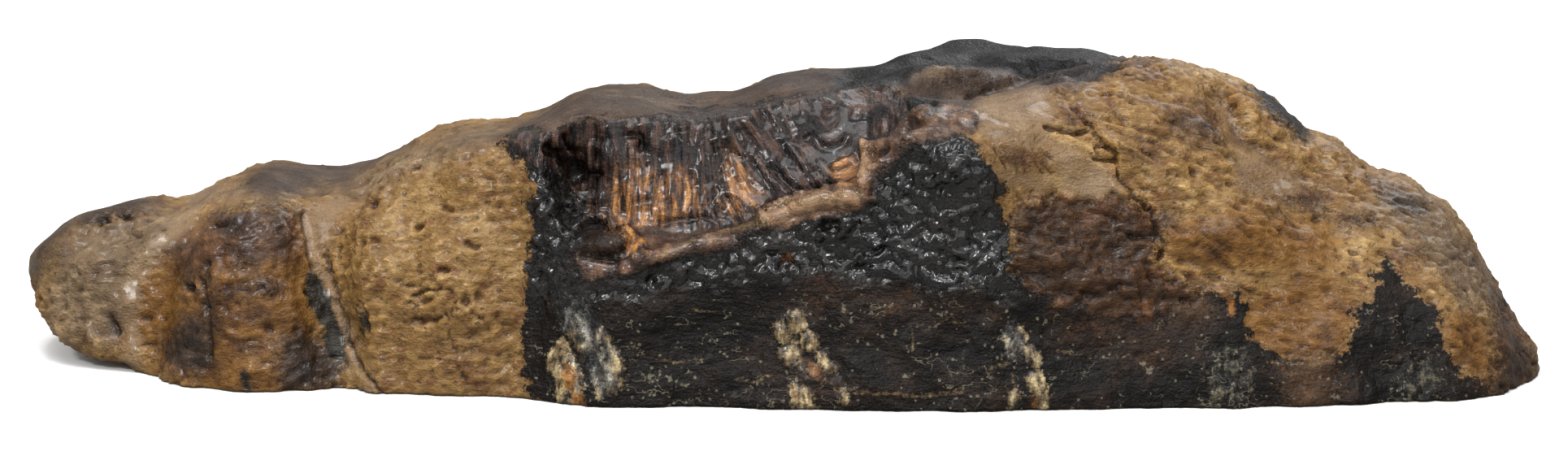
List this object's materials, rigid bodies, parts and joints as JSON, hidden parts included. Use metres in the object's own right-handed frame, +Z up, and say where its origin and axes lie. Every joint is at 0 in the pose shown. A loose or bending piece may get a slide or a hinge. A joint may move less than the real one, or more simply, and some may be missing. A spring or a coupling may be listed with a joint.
{
  "type": "fossil mammoth molar slice",
  "caption": "Lengthwise slice of a fossil mammoth molar: low lumped end, hollow broken out of the worn front edge, high knobbed end, one flat sawn face.",
  "frame": {"origin": "middle of the slice's box, on the surface that its sawn face rests on", "axes": "+X along the tooth from the low end to the high end, +Y from the worn chewing edge to the broken root side, +Z up from the sawn face"},
  "size_m": [0.1164, 0.049, 0.0234],
  "materials": {
    "fossil_tooth": "waxed fossil cement, dentine and enamel, tan to black-brown, with a satin to glossy shine"
  },
  "bodies": {
    "root": {"molar_slice": "fossil_tooth"}
  },
  "joints": []
}
